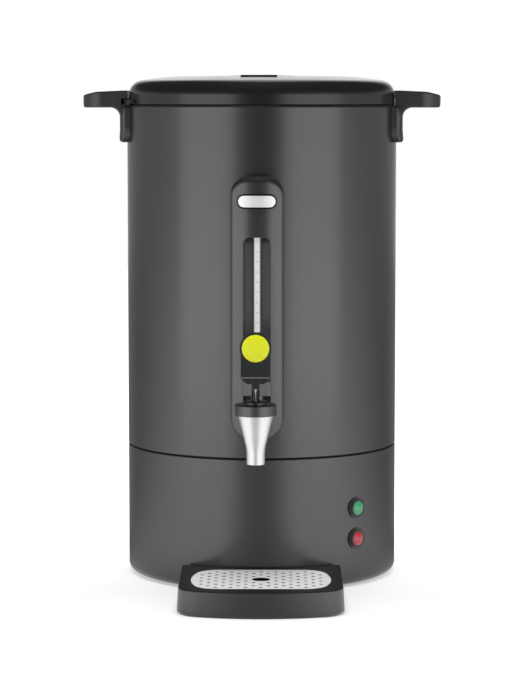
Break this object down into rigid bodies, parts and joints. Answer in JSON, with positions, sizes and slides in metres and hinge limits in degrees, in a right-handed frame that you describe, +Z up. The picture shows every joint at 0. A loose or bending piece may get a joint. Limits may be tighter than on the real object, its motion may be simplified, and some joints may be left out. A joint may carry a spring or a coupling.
{
  "type": "coffee urn",
  "caption": "Tall round percolating coffee urn with a press tap, gauge tube, lock-on lid, side handles, signal lamps and a loose drip tray.",
  "frame": {"origin": "on the axis of the body, on the surface that the urn stands on", "axes": "+Z up along the axis of the body, -Y towards the tap and the drip tray, +X to the right seen from the front"},
  "size_m": [0.3552, 0.4017, 0.4967],
  "materials": {
    "shell_paint": "satin anthracite paint",
    "seam": "matte",
    "tank_steel": "brushed stainless steel",
    "zinc": "zinc plated",
    "heater_steel": "dull",
    "sensor_black": "matte",
    "ceramic": "matte white",
    "foot_rubber": "matte",
    "seal_rubber": "silicone",
    "black_gloss": "gloss black",
    "black_matte": "fine matte",
    "green_clear": "clear green",
    "red_clear": "clear red",
    "brass_pins": "plated",
    "badge_silver": "satin silver, bare",
    "tube_clear": "clear polycarbonate",
    "tap_steel": "polished steel",
    "stem_steel": "bright",
    "cap_lime": "lime yellow, bare",
    "plate_steel": "brushed stainless steel"
  },
  "bodies": {
    "urn": {"outer_shell": "shell_paint", "inner_tank": "tank_steel", "seam_ring": "seam", "base_skirt": "shell_paint", "base_plate": "zinc", "foot_ring": "foot_rubber", "base_screws": "zinc", "tie_rods": "tank_steel", "tie_nuts": "zinc", "well_heater": "heater_steel", "keep_warm_element": "heater_steel", "thermostat": "sensor_black", "thermal_cutout": "sensor_black", "terminal_block": "ceramic", "upper_lamp_bezel": "black_matte", "lower_lamp_bezel": "black_matte", "green_lens": "green_clear", "red_lens": "red_clear", "lamp_nuts": "black_matte", "rear_panel": "black_matte", "panel_screws": "zinc", "inlet_socket": "black_matte", "inlet_pins": "brass_pins", "switch_housing": "black_matte", "left_handle": "black_gloss", "right_handle": "black_gloss", "handle_screws": "zinc", "front_housing": "black_gloss", "housing_screws": "zinc", "badge_plate": "badge_silver", "sight_tube": "tube_clear", "tube_cap": "black_matte", "gauge_nut": "black_matte", "gauge_seal": "seal_rubber", "tap_body": "tap_steel", "nozzle": "tap_steel", "bonnet": "black_gloss", "outer_gasket": "seal_rubber", "inner_gasket": "seal_rubber", "shank_nut": "tap_steel", "valve_spring": "stem_steel"},
    "valve": {"valve_stem": "stem_steel", "seat_cup": "seal_rubber"},
    "lever": {"tap_lever": "black_gloss", "lever_pin": "stem_steel", "lever_cap": "cap_lime"},
    "seal": {"lid_gasket": "seal_rubber"},
    "lid": {"lid_cap": "black_gloss", "lid_grip": "black_gloss", "grip_screws": "zinc", "lid_liner": "black_matte", "liner_screws": "zinc"},
    "pump": {"pump_tube": "tank_steel"},
    "basket": {"coffee_basket": "tank_steel"},
    "cover": {"basket_cover": "tank_steel"},
    "rocker": {"switch_rocker": "black_matte"},
    "tray": {"drip_tray": "black_gloss"},
    "plate": {"drip_plate": "plate_steel"}
  },
  "joints": [
    {"name": "lid_lift", "type": "slide", "parent": "urn", "child": "seal", "axis": [0, 0, 1], "range_m": [0, 0.52]},
    {"name": "lid_turn", "type": "hinge", "parent": "seal", "child": "lid", "pos_m": [0, 0, 0.467], "axis": [0, 0, -1], "range_deg": [0, 15.5]},
    {"name": "pump_lift", "type": "slide", "parent": "urn", "child": "pump", "axis": [0, 0, 1], "range_m": [0, 0.345]},
    {"name": "basket_lift", "type": "slide", "parent": "pump", "child": "basket", "axis": [0, 0, 1], "range_m": [0, 0.09]},
    {"name": "cover_lift", "type": "slide", "parent": "basket", "child": "cover", "axis": [0, 0, 1], "range_m": [0, 0.032]},
    {"name": "valve_lift", "type": "slide", "parent": "urn", "child": "valve", "axis": [0, 0, 1], "range_m": [0, 0.00219], "stiffness_N_per_m": 300, "springref_m": -0.006, "deforming": ["valve_spring"]},
    {"name": "tap_lever_tilt", "type": "hinge", "parent": "valve", "child": "lever", "pos_m": [0, -0.188, 0.1983], "axis": [1, 0, 0], "range_deg": [0, 30]},
    {"name": "switch_press", "type": "hinge", "parent": "urn", "child": "rocker", "pos_m": [0, 0.1326, 0.084], "axis": [-1, 0, 0], "range_deg": [0, 16]},
    {"name": "tray_slide", "type": "slide", "parent": "urn", "child": "tray", "axis": [0.0262, -0.9997, 0], "range_m": [0, 0.15]},
    {"name": "plate_lift", "type": "slide", "parent": "tray", "child": "plate", "axis": [0, 0, 1], "range_m": [0, 0.06]}
  ],
  "couplings": [
    {"joint": "pump_lift", "follows": "lid_lift", "ratio": 0.66},
    {"joint": "basket_lift", "follows": "lid_lift", "ratio": 0.17},
    {"joint": "cover_lift", "follows": "lid_lift", "ratio": 0.06},
    {"joint": "tap_lever_tilt", "follows": "valve_lift", "rad_per_m": 238.43}
  ]
}
